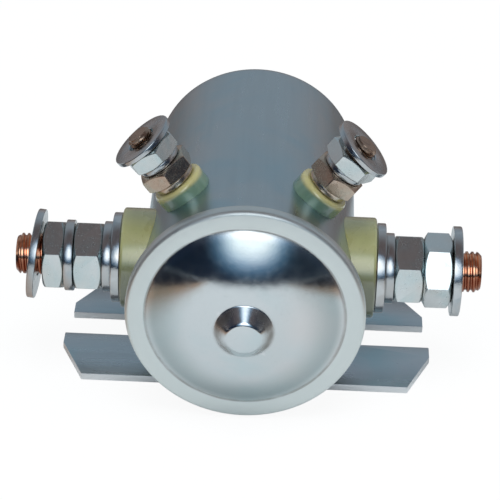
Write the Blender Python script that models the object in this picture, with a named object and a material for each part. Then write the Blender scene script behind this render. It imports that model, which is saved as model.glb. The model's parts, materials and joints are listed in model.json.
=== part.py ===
"""DC contactor: a drawn steel can with a domed, crimped end cap, on a slotted sheet bracket.

Two copper load studs leave the can sideways and two small coil studs leave it above them. Inside, a copper
disc on the plunger's rod bridges the heads of the load studs when the coil draws the plunger in.
"""

import math

import bmesh
import bpy

# Lengths are in metres and angles in radians. Places along Y are measured from the plane of the cap's rim,
# and radii and heights from the can's axis, which lies along Y. The cap faces -Y.
clearance = 0.0003  # between pieces that touch or fit

# Can
can_radius = 0.0205
can_wall = 0.0009
can_length = 0.0655
can_corner = 0.0030
flange_width = 0.00105
flange_fillet = 0.0003

# End cap, drawn from sheet and rolled over the can's flange
cap_sheet = 0.0008
rim_corner = 0.0010
lip_width = 0.0018
lip_corner = 0.0009
dome_edge = 0.01885  # where the dome meets the flat rim
dome_height = 0.0054
nub_radius = 0.0056
nub_height = 0.0024
nub_corner = 0.0020
nub_crown = 0.0003
nub_foot = 0.0004
gasket_width = 0.0007
gasket_height = 0.0006

# Mounting bracket
rim_lift = 0.00035  # from the bracket's underside up to the rim
bracket_sheet = 0.0015
bracket_front = 0.0110
bracket_back = 0.0430
front_prong_reach = 0.0366
back_prong_reach = 0.0356
slot_width = 0.0077
slot_place = 0.02945
slot_end = 0.0220  # where the slot's round end starts, from the middle
front_cut_across = 0.0046
front_cut_along = 0.0110
back_cut_across = 0.0038
back_cut_along = 0.0060
plan_fillet = 0.0009
saddle_angle = math.radians(20)
saddle_rise_run = 0.0048  # along X, from the saddle's edge down to the wing

# Load terminals, at right angles to the can
load_place = 0.0200
load_angle = math.radians(90)
load_reach = 0.0450
load_stud_radius = 0.00397
load_stud_chamfer = 0.0006
load_head_half = 0.0040
load_head_height = 0.0058
load_insulator_radius = 0.00975
load_insulator_height = 0.0040  # above the can's side
load_insulator_edge = 0.0005
load_inner_radius = 0.0072
load_inner_height = 0.0036
load_neck_wall = 0.0010
load_nut_width = 0.0127
load_nut_height = 0.0053
load_thin_nut_height = 0.0039
load_washer_radius = 0.00873
load_washer_height = 0.0014
load_washer_bore = 0.00437
load_lock_radius = 0.0069
load_lock_height = 0.0013
load_lock_lift = 0.0002
loose_load_washer_tilt = math.radians(9)
loose_load_washer_turn = math.radians(25)  # from the front towards the bottom, the way its outer face turns

# Coil terminals, on the can's shoulders
coil_place = 0.0180
coil_angle = math.radians(37.5)  # from straight up
coil_reach = 0.0356
coil_stud_radius = 0.00241
coil_stud_chamfer = 0.0004
coil_head_radius = 0.0034
coil_head_height = 0.0015
coil_insulator_radius = 0.0052
coil_insulator_height = 0.0030
coil_insulator_edge = 0.0008
coil_inner_radius = 0.0050
coil_inner_height = 0.0021
coil_neck_wall = 0.0007
coil_nut_width = 0.00953
coil_nut_height = 0.0031
coil_washer_radius = 0.00635
coil_washer_height = 0.0010
coil_washer_bore = 0.0029
coil_lock_radius = 0.0042
coil_lock_height = 0.0008
coil_lock_lift = 0.0001
left_coil_washer_tilt = math.radians(-4)  # outwards: these washers hang loose on their studs
right_coil_washer_tilt = math.radians(8)

# Nuts and lock washers of every terminal
nut_face = 0.475  # of the width over flats, where a nut's chamfer starts
nut_chamfer = math.radians(30)
lock_gap = math.radians(9)
lock_turn = math.radians(100)
square_corner = 1.3  # of half the width of a stud's square head

# Contact disc and what carries it
contact_gap = 0.0023  # from the disc to the stud heads at rest
overtravel = 0.0008
disc_radius = 0.0132
disc_thickness = 0.0016
disc_edge = 0.0003
disc_insulator_radius = 0.0050
disc_insulator_height = 0.0010
disc_neck_wall = 0.0005
rod_radius = 0.0019
rod_shoulder_radius = 0.0032
rod_head_radius = 0.0030
rod_head_height = 0.0012
rod_spigot = 0.0072  # into the plunger
spring_seat_radius = 0.0042
spring_seat_height = 0.0008
contact_spring_radius = 0.0034  # to the middle of the wire
contact_spring_wire = 0.00045
contact_spring_turns = 6

# Plunger, core and coil
plunger_front = 0.0265
plunger_length = 0.0175
plunger_radius = 0.0062
plunger_chamfer = 0.0005
spring_bore_radius = 0.0036
plunger_bore_depth = 0.0070
core_bore_depth = 0.0050
return_spring_radius = 0.0028
return_spring_wire = 0.0004
return_spring_turns = 5
tube_wall = 0.0005
tube_collar_radius = 0.0082
tube_overlap = 0.0066  # how far the tube holds the core
core_foot_radius = 0.0070
flux_washer_front = 0.0280
flux_washer_height = 0.0016
bobbin_wall = 0.0010
bobbin_flange = 0.0013
bobbin_back_gap = 0.0011  # to the can's closed end, for its corner
bobbin_side_gap = 0.0010
winding_gap = 0.0016  # from the winding to the flange's edge
wrap_thickness = 0.0005
lead_radius = 0.0005
lead_notch = 0.0018
lead_side_step = 0.0015  # outwards, from the stud's head to the notch

can_sides = 36
hidden_sides = 24
load_sides = 24
small_sides = 16
nut_sides = 18  # a multiple of six
spring_steps = 8  # a turn
spring_easing = 0.25  # how much flatter a spring's end turns lie
lead_steps = 6
sharp_angle = math.radians(32)

can_inner = can_radius - can_wall
flange_radius = can_radius + flange_width
flange_front = cap_sheet + clearance
flange_back = flange_front + can_wall
rim_radius = flange_radius + clearance + cap_sheet
lip_back = flange_back + clearance + cap_sheet
nub_front = -(dome_height + nub_height)
axis_height = rim_radius + rim_lift
middle_place = (can_length + nub_front) / 2
wing_top = bracket_sheet - axis_height

finishes = {
    "zinc": ((0.62, 0.66, 0.70), 1.0, 0.30),
    "bright_zinc": ((0.74, 0.78, 0.81), 1.0, 0.16),
    "washer_zinc": ((0.50, 0.52, 0.55), 1.0, 0.34),
    "copper": ((0.83, 0.36, 0.16), 1.0, 0.26),
    "stud_brass": ((0.60, 0.40, 0.26), 1.0, 0.32),
    "insulator": ((0.50, 0.52, 0.24), 0.0, 0.42),
    "rubber": ((0.03, 0.03, 0.03), 0.0, 0.70),
    "steel": ((0.46, 0.47, 0.49), 1.0, 0.36),
    "brass": ((0.72, 0.56, 0.28), 1.0, 0.30),
    "nylon": ((0.78, 0.77, 0.70), 0.0, 0.50),
    "magnet_wire": ((0.48, 0.19, 0.08), 0.9, 0.35),
    "paper": ((0.62, 0.54, 0.36), 0.0, 0.80),
    "fibre": ((0.45, 0.20, 0.12), 0.0, 0.65),
    "spring_steel": ((0.55, 0.56, 0.58), 1.0, 0.28),
}


def clear_scene():
    for item in list(bpy.data.objects):
        bpy.data.objects.remove(item, do_unlink=True)


def finish(name):
    """The named material, made the first time that it is asked for."""
    found = bpy.data.materials.get(name)
    if found:
        return found
    color, metallic, roughness = finishes[name]
    made = bpy.data.materials.new(name)
    made.use_nodes = True
    surface = made.node_tree.nodes["Principled BSDF"]
    surface.inputs["Base Color"].default_value = (*color, 1.0)
    surface.inputs["Metallic"].default_value = metallic
    surface.inputs["Roughness"].default_value = roughness
    made.diffuse_color = (*color, 1.0)
    return made


def add_empty(name, parent=None, location=(0, 0, 0), rotation=(0, 0, 0)):
    holder = bpy.data.objects.new(name, None)
    bpy.context.scene.collection.objects.link(holder)
    holder.empty_display_size = 0.005
    holder.parent = parent
    holder.location = location
    holder.rotation_euler = rotation
    return holder


def add_piece(name, shape, finish_name, parent, location=(0, 0, 0), rotation=(0, 0, 0)):
    """An object from a bmesh, shaded smooth with its edges sharp."""
    mesh = bpy.data.meshes.new(name)
    bmesh.ops.recalc_face_normals(shape, faces=shape.faces)
    shape.to_mesh(mesh)
    shape.free()
    mesh.shade_smooth()
    mesh.set_sharp_from_angle(angle=sharp_angle)
    mesh.materials.append(finish(finish_name))
    piece = bpy.data.objects.new(name, mesh)
    bpy.context.scene.collection.objects.link(piece)
    piece.parent = parent
    piece.location = location
    piece.rotation_euler = rotation
    return piece


def cut(piece, cutter, operation="DIFFERENCE"):
    """Cuts a piece with a helper object, which stays out of the model."""
    cutter.hide_render = True
    cutter.display_type = "WIRE"
    modifier = piece.modifiers.new(cutter.name, "BOOLEAN")
    modifier.operation = operation
    modifier.solver = "EXACT"
    modifier.object = cutter


def arc(centre, radius, start, end, steps):
    """Points (across, along) on an arc, with its angles in degrees from the across direction."""
    angles = [math.radians(start + (end - start) * i / steps) for i in range(steps + 1)]
    return [(centre[0] + radius * math.cos(a), centre[1] + radius * math.sin(a)) for a in angles]


def unit_normals(path):
    """The left-hand normal of each of the path's segments."""
    normals = []
    for (x0, y0), (x1, y1) in zip(path, path[1:]):
        length = math.hypot(x1 - x0, y1 - y0)
        normals.append(((y0 - y1) / length, (x1 - x0) / length))
    return normals


def offset_path(path, distance):
    """The path moved sideways to its left, with mitred corners. A point on the axis stays on it."""
    normals = unit_normals(path)
    before = [normals[0], *normals]
    after = [*normals, normals[-1]]
    moved = []
    for (x, y), (ax, ay), (bx, by) in zip(path, before, after):
        reach = distance / (1 + ax * bx + ay * by)
        moved.append((0.0 if x == 0 else x + (ax + bx) * reach, y + (ay + by) * reach))
    return moved


def sheet(path, thickness):
    """The closed outline of sheet metal whose outer face is the path and which lies to its left."""
    return path + offset_path(path, thickness)[::-1]


def turned(profile, sides):
    """A solid turned about Z from (radius, height) points. A profile that starts and ends on the axis is left open."""
    shape = bmesh.new()
    points = [shape.verts.new((radius, 0, height)) for radius, height in profile]
    for first, second in zip(points, points[1:]):
        shape.edges.new((first, second))
    if profile[0][0] > 0:
        shape.edges.new((points[-1], points[0]))
    line = shape.verts[:] + shape.edges[:]
    bmesh.ops.spin(shape, geom=line, cent=(0, 0, 0), axis=(0, 0, 1), angle=2 * math.pi, steps=sides)
    bmesh.ops.remove_doubles(shape, verts=shape.verts, dist=1e-6)
    return shape


def ring(inner, outer, low, high, edge=0.0):
    """The profile of a washer or a tube, with its outer edges chamfered."""
    if edge == 0:
        return [(inner, low), (outer, low), (outer, high), (inner, high)]
    return [
        (inner, low),
        (outer - edge, low),
        (outer, low + edge),
        (outer, high - edge),
        (outer - edge, high),
        (inner, high),
    ]


def lofted(profile_at, sides):
    """A solid round Z whose closed profile changes with the angle. Points on the axis are joined."""
    shape = bmesh.new()
    rows = []
    for i in range(sides):
        a = 2 * math.pi * i / sides
        rows.append([shape.verts.new((r * math.cos(a), r * math.sin(a), z)) for r, z in profile_at(a)])
    closed = profile_at(0)[0][0] > 0
    count = len(rows[0])
    for here, there in zip(rows, rows[1:] + rows[:1]):
        for k in range(count if closed else count - 1):
            n = (k + 1) % count
            shape.faces.new((here[k], here[n], there[n], there[k]))
    bmesh.ops.remove_doubles(shape, verts=shape.verts, dist=1e-6)
    return shape


def prism(outline, low, high):
    """The outline, in the XY plane, pulled up from one height to the other."""
    shape = bmesh.new()
    face = shape.faces.new([shape.verts.new((x, y, low)) for x, y in outline])
    grown = bmesh.ops.extrude_face_region(shape, geom=[face])
    corners = [item for item in grown["geom"] if isinstance(item, bmesh.types.BMVert)]
    bmesh.ops.translate(shape, verts=corners, vec=(0, 0, high - low))
    return shape


def hex_nut(width, height, bore):
    """A hexagon nut with its corners turned off on both faces, standing on Z = 0."""
    face_radius = nut_face * width

    def profile_at(a):
        from_flat = (a + math.pi / 6) % (math.pi / 3) - math.pi / 6
        side = width / 2 / math.cos(from_flat)
        turned_off = (side - face_radius) * math.tan(nut_chamfer)
        return [
            (bore, 0),
            (face_radius, 0),
            (side, turned_off),
            (side, height - turned_off),
            (face_radius, height),
            (bore, height),
        ]

    return lofted(profile_at, nut_sides)


def split_washer(inner, outer, height, lift):
    """A spring lock washer: a ring cut through once, whose ends stand apart by the lift."""
    shape = bmesh.new()
    rows = []
    for i in range(small_sides + 1):
        a = lock_gap / 2 + (2 * math.pi - lock_gap) * i / small_sides
        up = lift * i / small_sides
        section = [(inner, up), (outer, up), (outer, up + height), (inner, up + height)]
        rows.append([shape.verts.new((r * math.cos(a), r * math.sin(a), z)) for r, z in section])
    for here, there in zip(rows, rows[1:]):
        for k in range(4):
            n = (k + 1) % 4
            shape.faces.new((here[k], here[n], there[n], there[k]))
    shape.faces.new(rows[0])
    shape.faces.new(rows[-1][::-1])
    return shape


def saddle_height(radius, across):
    """How far from the can's axis a cylinder of this radius is, at a distance across the can."""
    return math.sqrt(radius**2 - across**2)


def outer_insulator(bore, neck, outer, top, edge, sides):
    """A moulded bush: its neck goes through the can's wall and its foot is curved to sit on the can."""
    seat = can_radius + clearance
    steps = 2

    def profile_at(a):
        foot = []
        for i in range(steps + 1):
            r = neck + (outer - neck) * i / steps
            foot.append((r, saddle_height(seat, r * math.cos(a))))
        return [(bore, can_inner), (neck, can_inner), *foot, (outer, top - edge), (outer - edge, top), (bore, top)]

    return lofted(profile_at, sides)


def inner_insulator(bore, outer, height):
    """The bush's counterpart inside the can, flat where the stud's head bears on it."""
    seat = can_inner - clearance
    steps = 1

    def profile_at(a):
        crown = []
        for i in range(steps + 1):
            r = bore + (outer - bore) * i / steps
            crown.append((r, saddle_height(seat, r * math.cos(a))))
        return [(outer, seat - height), (bore, seat - height), *crown]

    return lofted(profile_at, small_sides)


def headed_stud(radius, end, chamfer, head_low, head_high, head_at, sides):
    """A stud from its head to its chamfered end. The head's reach may change with the angle."""

    def profile_at(a):
        reach = head_at(a)
        return [
            (0, head_low),
            (reach, head_low),
            (reach, head_high),
            (radius, head_high),
            (radius, end - chamfer),
            (radius - chamfer, end),
            (0, end),
        ]

    return lofted(profile_at, sides)


def square_head(a):
    """The reach of a square at an angle, with its corners turned off."""
    return min(load_head_half / max(abs(math.cos(a)), abs(math.sin(a))), square_corner * load_head_half)


def round_head(a):
    return coil_head_radius


along_y = (-math.pi / 2, 0, 0)  # turns a solid made round Z so that its top faces +Y


def make_can(frame, terminals):
    corner = arc((can_radius - can_corner, can_length - can_corner), can_corner, 90, 0, 4)
    fillet = arc((can_radius + flange_fillet, flange_back + flange_fillet), flange_fillet, 180, 270, 2)
    mouth = arc((can_radius, flange_front + can_wall), can_wall, 270, 180, 2)
    inner_corner = arc((can_radius - can_corner, can_length - can_corner), can_corner - can_wall, 0, 90, 2)
    profile = [(0, can_length), *corner, *fillet, (flange_radius, flange_back), (flange_radius, flange_front)]
    profile += [*mouth, *inner_corner, (0, can_length - can_wall)]
    can = add_piece("can", turned(profile, can_sides), "zinc", frame, rotation=along_y)
    for name, (holder, hole) in terminals.items():
        low = can_inner - can_wall
        high = can_radius + can_wall
        drill = turned([(0, low), (hole, low), (hole, high), (0, high)], small_sides)
        cut(can, add_piece(name + "_hole", drill, "zinc", holder))
    return can


def dome_depth(radius):
    """How far the dome stands behind or in front of the rim's plane, at a radius."""
    sphere = (dome_edge**2 + dome_height**2) / (2 * dome_height)
    return sphere - dome_height - math.sqrt(sphere**2 - radius**2)


def make_end_cap(frame):
    nub_side = nub_front + nub_crown + nub_corner
    nub = arc((nub_radius - nub_corner, nub_side), nub_corner, 270, 360, 3)
    foot = nub_radius + nub_foot
    dome = [foot + (dome_edge - foot) * i / 4 for i in range(5)]
    corner = arc((rim_radius - rim_corner, rim_corner), rim_corner, 270, 360, 3)
    lip = arc((rim_radius - lip_corner, lip_back - lip_corner), lip_corner, 0, 90, 2)
    path = [(0, nub_front), *nub, (nub_radius, dome_depth(nub_radius) - nub_foot)]
    path += [(radius, dome_depth(radius)) for radius in dome]
    path += [*corner, *lip, (rim_radius - lip_width, lip_back)]
    return add_piece("end_cap", turned(sheet(path, cap_sheet), can_sides), "bright_zinc", frame, rotation=along_y)


def make_cap_gasket(frame):
    """A square ring in the can's mouth, behind the cap's rim."""
    outer = can_inner - clearance
    profile = ring(outer - gasket_width, outer, flange_front, flange_front + gasket_height)
    add_piece("cap_gasket", turned(profile, can_sides), "rubber", frame, rotation=along_y)


def rounded_outline(corners, steps=3):
    """Corner points (x, y, fillet) turned into an outline with an arc in place of each corner."""
    outline = []
    for i, (x, y, fillet) in enumerate(corners):
        if fillet == 0:
            outline.append((x, y))
            continue
        px, py, _ = corners[i - 1]
        nx, ny, _ = corners[(i + 1) % len(corners)]
        into = (math.atan2(y - py, x - px), math.atan2(ny - y, nx - x))
        turn = (into[1] - into[0] + math.pi) % (2 * math.pi) - math.pi
        back = fillet * math.tan(abs(turn) / 2)
        side = math.copysign(math.pi / 2, turn)
        start = (x - back * math.cos(into[0]), y - back * math.sin(into[0]))
        centre = (start[0] + fillet * math.cos(into[0] + side), start[1] + fillet * math.sin(into[0] + side))
        first = math.degrees(into[0] - side)
        outline += arc(centre, fillet, first, first + math.degrees(turn), steps)
    return outline


def bracket_plan():
    """The bracket seen from above: two prongs a side, with the slot between them open outwards."""
    slot_front = slot_place - slot_width / 2
    slot_back = slot_place + slot_width / 2
    half = [
        (front_prong_reach - front_cut_across, bracket_front, plan_fillet),
        (front_prong_reach, bracket_front + front_cut_along, plan_fillet),
        (front_prong_reach, slot_front, plan_fillet / 2),
        (slot_end, slot_front, 0),
    ]
    round_end = arc((slot_end, slot_place), slot_width / 2, 270, 90, 8)[1:-1]
    half += [(x, y, 0) for x, y in round_end]
    half += [
        (slot_end, slot_back, 0),
        (back_prong_reach, slot_back, plan_fillet / 2),
        (back_prong_reach, bracket_back - back_cut_along, plan_fillet),
        (back_prong_reach - back_cut_across, bracket_back, plan_fillet),
    ]
    return half + [(-x, y, fillet) for x, y, fillet in half[::-1]]


def make_bracket(frame):
    """Sheet pressed to a saddle that carries the can, then blanked to its plan."""
    saddle = can_radius + clearance
    tilt = math.degrees(saddle_angle)
    seat = arc((0, 0), saddle, 270 - tilt, 270 + tilt, 8)
    beyond = front_prong_reach + bracket_sheet
    foot = seat[-1][0] + saddle_rise_run
    path = [(-beyond, wing_top), (-foot, wing_top), *seat, (foot, wing_top), (beyond, wing_top)]
    section = prism(sheet(path, -bracket_sheet), -bracket_back - bracket_sheet, bracket_sheet - bracket_front)
    bracket = add_piece("mounting_bracket", section, "zinc", frame, rotation=(math.pi / 2, 0, 0))
    plan = prism(rounded_outline(bracket_plan()), -axis_height - bracket_sheet, -can_radius / 2)
    cut(bracket, add_piece("bracket_plan", plan, "zinc", frame), "INTERSECT")


def hardware(kind, sizes):
    """The shape and the height of a nut or a washer of a terminal."""
    bore = sizes["stud"] + clearance
    if kind == "nut":
        return hex_nut(sizes["nut_width"], sizes["nut_height"], bore), sizes["nut_height"]
    if kind == "thin_nut":
        return hex_nut(sizes["nut_width"], load_thin_nut_height, bore), load_thin_nut_height
    if kind == "lock":
        shape = split_washer(bore, sizes["lock"], sizes["lock_height"], sizes["lock_lift"])
        return shape, sizes["lock_height"] + sizes["lock_lift"]
    profile = ring(sizes["washer_bore"], sizes["washer"], 0, sizes["washer_height"])
    return turned(profile, sizes["sides"]), sizes["washer_height"]


load_sizes = {
    "sides": load_sides,
    "stud": load_stud_radius,
    "nut_width": load_nut_width,
    "nut_height": load_nut_height,
    "lock": load_lock_radius,
    "lock_height": load_lock_height,
    "lock_lift": load_lock_lift,
    "washer": load_washer_radius,
    "washer_height": load_washer_height,
    "washer_bore": load_washer_bore,
}
coil_sizes = {
    "sides": small_sides,
    "stud": coil_stud_radius,
    "nut_width": coil_nut_width,
    "nut_height": coil_nut_height,
    "lock": coil_lock_radius,
    "lock_height": coil_lock_height,
    "lock_lift": coil_lock_lift,
    "washer": coil_washer_radius,
    "washer_height": coil_washer_height,
    "washer_bore": coil_washer_bore,
}
# What stands on each stud from the can outwards, and how far each nut or loose washer is turned or tilted
left_load_stack = {
    "inner_flat_washer": ("flat", 0),
    "inner_lock_washer": ("lock", lock_turn),
    "inner_nut": ("nut", math.radians(30)),
    "outer_lock_washer": ("lock", lock_turn),
    "outer_nut": ("thin_nut", math.radians(30)),
    "outer_flat_washer": ("loose", loose_load_washer_turn, loose_load_washer_tilt),
}
right_load_stack = {
    "inner_flat_washer": ("flat", 0),
    "inner_lock_washer": ("lock", lock_turn),
    "inner_nut": ("nut", math.radians(30)),
    "outer_nut": ("nut", 0),
    "outer_flat_washer": ("flat", 0),
}
left_coil_stack = {
    "inner_lock_washer": ("lock", lock_turn),
    "inner_nut": ("nut", math.radians(8)),
    "outer_lock_washer": ("lock", lock_turn),
    "outer_nut": ("nut", math.radians(24)),
    "outer_flat_washer": ("loose", 0, left_coil_washer_tilt),
}
right_coil_stack = {
    "inner_lock_washer": ("lock", lock_turn),
    "inner_nut": ("nut", math.radians(-8)),
    "outer_lock_washer": ("lock", lock_turn),
    "outer_nut": ("nut", math.radians(-24)),
    "outer_flat_washer": ("loose", 0, right_coil_washer_tilt),
}
hardware_finish = {"nut": "bright_zinc", "thin_nut": "bright_zinc"}


def add_stack(holder, prefix, stack, start, sizes):
    """Threads washers and nuts on a stud, each a clearance beyond the last."""
    place = start
    for suffix, (kind, turn, *leaning) in stack.items():
        shape, height = hardware(kind, sizes)
        place += clearance
        tilt = leaning[0] if leaning else 0
        lift = sizes["nut_width"] / 2 * math.sin(abs(tilt))
        look = hardware_finish.get(kind, "washer_zinc")
        add_piece(f"{prefix}_{suffix}", shape, look, holder, (0, 0, place + lift), (0, tilt, turn))
        place += height


def make_load_terminal(side, holder, stack):
    name = f"{side}_load"
    bore = load_stud_radius + clearance
    neck = bore + load_neck_wall
    top = can_radius + load_insulator_height
    bush = outer_insulator(bore, neck, load_insulator_radius, top, load_insulator_edge, load_sides)
    add_piece(name + "_outer_insulator", bush, "insulator", holder)
    backing = inner_insulator(bore, load_inner_radius, load_inner_height)
    add_piece(name + "_inner_insulator", backing, "insulator", holder)
    head_high = can_inner - 2 * clearance - load_inner_height
    stud = headed_stud(
        load_stud_radius,
        load_reach,
        load_stud_chamfer,
        head_high - load_head_height,
        head_high,
        square_head,
        hidden_sides,
    )
    add_piece(name + "_stud", stud, "copper", holder)
    add_stack(holder, name, stack, top, load_sizes)


def make_coil_terminal(side, holder, stack):
    name = f"{side}_coil"
    bore = coil_stud_radius + clearance
    neck = bore + coil_neck_wall
    top = can_radius + coil_insulator_height
    bush = outer_insulator(bore, neck, coil_insulator_radius, top, coil_insulator_edge, small_sides)
    add_piece(name + "_outer_insulator", bush, "insulator", holder)
    backing = inner_insulator(bore, coil_inner_radius, coil_inner_height)
    add_piece(name + "_inner_insulator", backing, "insulator", holder)
    head_high = can_inner - 2 * clearance - coil_inner_height
    stud = headed_stud(
        coil_stud_radius,
        coil_reach,
        coil_stud_chamfer,
        head_high - coil_head_height,
        head_high,
        round_head,
        small_sides,
    )
    add_piece(name + "_stud", stud, "stud_brass", holder)
    add_stack(holder, name, stack, top, coil_sizes)


def wire(name, points, radius, finish_name, parent):
    """A round wire along the points, with its ends closed."""
    curve = bpy.data.curves.new(name, "CURVE")
    curve.dimensions = "3D"
    curve.bevel_depth = radius
    curve.bevel_resolution = 1
    curve.use_fill_caps = True
    spline = curve.splines.new("POLY")
    spline.points.add(len(points) - 1)
    for point, place in zip(spline.points, points):
        point.co = (*place, 1)
    curve.materials.append(finish(finish_name))
    piece = bpy.data.objects.new(name, curve)
    bpy.context.scene.collection.objects.link(piece)
    piece.parent = parent
    return piece


def helix(radius, low, high, turns):
    """Points of a coil spring along Y whose end turns lie almost flat."""
    steps = spring_steps * turns
    points = []
    for i in range(steps + 1):
        share = i / steps
        eased = share - math.sin(4 * math.pi * share) / (4 * math.pi) * spring_easing
        a = 2 * math.pi * turns * share
        points.append((radius * math.cos(a), low + (high - low) * eased, radius * math.sin(a)))
    return points


def make_contact_bridge(frame):
    """The copper disc between its two insulating washers, and the spring in front of them."""
    contact_plane = load_place - load_head_half
    disc_back = contact_plane - contact_gap
    disc_front = disc_back - disc_thickness
    bore = rod_radius + clearance
    neck = bore + disc_neck_wall
    disc = ring(neck + clearance, disc_radius, 0, disc_thickness, disc_edge)
    add_piece("contact_disc", turned(disc, hidden_sides), "copper", frame, (0, disc_front, 0), along_y)
    front_low = -clearance - disc_insulator_height
    bush = [
        (bore, front_low),
        (disc_insulator_radius, front_low),
        (disc_insulator_radius, -clearance),
        (neck, -clearance),
        (neck, disc_thickness),
        (bore, disc_thickness),
    ]
    add_piece("front_disc_insulator", turned(bush, small_sides), "fibre", frame, (0, disc_front, 0), along_y)
    washer = ring(bore, disc_insulator_radius, clearance, clearance + disc_insulator_height)
    add_piece("back_disc_insulator", turned(washer, small_sides), "fibre", frame, (0, disc_back, 0), along_y)
    seat_back = make_plunger_rod(frame, disc_back + 2 * clearance + disc_insulator_height)
    low = seat_back + clearance + contact_spring_wire
    high = disc_front + front_low - clearance - contact_spring_wire
    coil = helix(contact_spring_radius, low, high, contact_spring_turns)
    wire("contact_spring", coil, contact_spring_wire, "spring_steel", frame)


def make_plunger_rod(frame, shoulder):
    """The rod, headed in the cap's nub, and the cup on it that the contact spring pushes on."""
    head = nub_front + nub_crown + cap_sheet + clearance
    neck = head + rod_head_height
    end = plunger_front + rod_spigot
    rod = [
        (0, head),
        (rod_head_radius, head),
        (rod_head_radius, neck),
        (rod_radius, neck),
        (rod_radius, shoulder),
        (rod_shoulder_radius, shoulder),
        (rod_shoulder_radius, plunger_front - clearance),
        (rod_radius, plunger_front - clearance),
        (rod_radius, end),
        (0, end),
    ]
    add_piece("plunger_rod", turned(rod, small_sides), "stud_brass", frame, rotation=along_y)
    seat = ring(rod_radius + clearance, spring_seat_radius, 0, spring_seat_height)
    add_piece("spring_seat", turned(seat, small_sides), "steel", frame, (0, neck + clearance, 0), along_y)
    return neck + clearance + spring_seat_height


def make_plunger(frame):
    """The moving iron, bored in front for the rod and behind for the return spring."""
    rod_bore = rod_radius + clearance
    rod_depth = rod_spigot + clearance
    profile = [
        (0, rod_depth),
        (rod_bore, rod_depth),
        (rod_bore, 0),
        (plunger_radius - plunger_chamfer, 0),
        (plunger_radius, plunger_chamfer),
        (plunger_radius, plunger_length - plunger_chamfer),
        (plunger_radius - plunger_chamfer, plunger_length),
        (spring_bore_radius, plunger_length),
        (spring_bore_radius, plunger_length - plunger_bore_depth),
        (0, plunger_length - plunger_bore_depth),
    ]
    add_piece("plunger", turned(profile, hidden_sides), "steel", frame, (0, plunger_front, 0), along_y)


def make_fixed_core(frame, core_face, foot_front):
    back = can_length - can_wall - clearance
    bottom = core_face + core_bore_depth
    profile = [
        (0, bottom),
        (spring_bore_radius, bottom),
        (spring_bore_radius, core_face),
        (plunger_radius - plunger_chamfer, core_face),
        (plunger_radius, core_face + plunger_chamfer),
        (plunger_radius, foot_front),
        (core_foot_radius, foot_front),
        (core_foot_radius, back),
        (0, back),
    ]
    add_piece("fixed_core", turned(profile, hidden_sides), "steel", frame, rotation=along_y)


def make_guide_tube(frame, tube_end):
    """The brass sleeve that the plunger slides in, with its mouth turned out over the flux washer."""
    inner = plunger_radius + clearance
    outer = inner + tube_wall
    collar_back = flux_washer_front - clearance
    profile = [
        (inner, collar_back - tube_wall),
        (tube_collar_radius, collar_back - tube_wall),
        (tube_collar_radius, collar_back),
        (outer, collar_back),
        (outer, tube_end),
        (inner, tube_end),
    ]
    add_piece("guide_tube", turned(profile, hidden_sides), "brass", frame, rotation=along_y)


def lead_notch_cutter(name, holder, inner, along):
    """A slot through a round plate's edge, for a coil lead."""
    half = lead_notch / 2
    outline = [(-half, along[0]), (half, along[0]), (half, along[1]), (-half, along[1])]
    return add_piece(name, prism(outline, inner, can_inner + can_wall), "nylon", holder)


def make_coil(frame, coil_holders, lead_line):
    """Flux washer, bobbin, winding and its wrap, and the two leads to the coil studs."""
    tube_outer = plunger_radius + clearance + tube_wall
    hub_inner = tube_outer + clearance
    hub_outer = hub_inner + bobbin_wall
    flux_back = flux_washer_front + flux_washer_height
    flux_profile = ring(hub_inner, can_inner - clearance, flux_washer_front, flux_back)
    flux_washer = add_piece("flux_washer", turned(flux_profile, hidden_sides), "steel", frame, rotation=along_y)
    front = flux_back + clearance
    back = can_length - can_wall - bobbin_back_gap
    flange = can_inner - bobbin_side_gap
    bobbin_profile = [
        (hub_inner, front),
        (flange, front),
        (flange, front + bobbin_flange),
        (hub_outer, front + bobbin_flange),
        (hub_outer, back - bobbin_flange),
        (flange, back - bobbin_flange),
        (flange, back),
        (hub_inner, back),
    ]
    bobbin = add_piece("bobbin", turned(bobbin_profile, hidden_sides), "nylon", frame, rotation=along_y)
    low = front + bobbin_flange + clearance
    high = back - bobbin_flange - clearance
    winding_radius = flange - winding_gap
    winding = ring(hub_outer + clearance, winding_radius, low, high)
    add_piece("coil_winding", turned(winding, hidden_sides), "magnet_wire", frame, rotation=along_y)
    wrap_inner = winding_radius + clearance
    wrap = ring(wrap_inner, wrap_inner + wrap_thickness, low, high)
    add_piece("coil_wrap", turned(wrap, hidden_sides), "paper", frame, rotation=along_y)
    notch_floor = lead_line - lead_radius - clearance
    notch_along = (flux_washer_front - coil_place - lead_notch, front + bobbin_flange - coil_place + clearance / 2)
    for side, holder in coil_holders.items():
        cutter = lead_notch_cutter(side + "_lead_notch", holder, notch_floor, notch_along)
        cut(flux_washer, cutter)
        cut(bobbin, cutter)


def lead_route(stud_line, lead_line, end):
    """A lead's line in its terminal's frame: along the stud's head, then outwards and on to the winding."""
    start = coil_head_radius + clearance
    rise_start = coil_inner_radius + lead_radius
    rise_end = flux_washer_front - coil_place - 2 * lead_radius
    points = [(0, start, stud_line)]
    for i in range(lead_steps + 1):
        share = i / lead_steps
        ease = (1 - math.cos(math.pi * share)) / 2
        points.append((0, rise_start + (rise_end - rise_start) * share, stud_line + (lead_line - stud_line) * ease))
    points.append((0, end, lead_line))
    return points


def make_leads(coil_holders, lead_line):
    stud_line = can_inner - 2 * clearance - coil_inner_height - coil_head_height / 2
    flange_back_face = flux_washer_front + flux_washer_height + clearance + bobbin_flange
    for side, holder in coil_holders.items():
        route = lead_route(stud_line, lead_line, flange_back_face - coil_place - clearance / 2)
        wire(f"{side}_coil_lead", route, lead_radius, "magnet_wire", holder)


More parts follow.
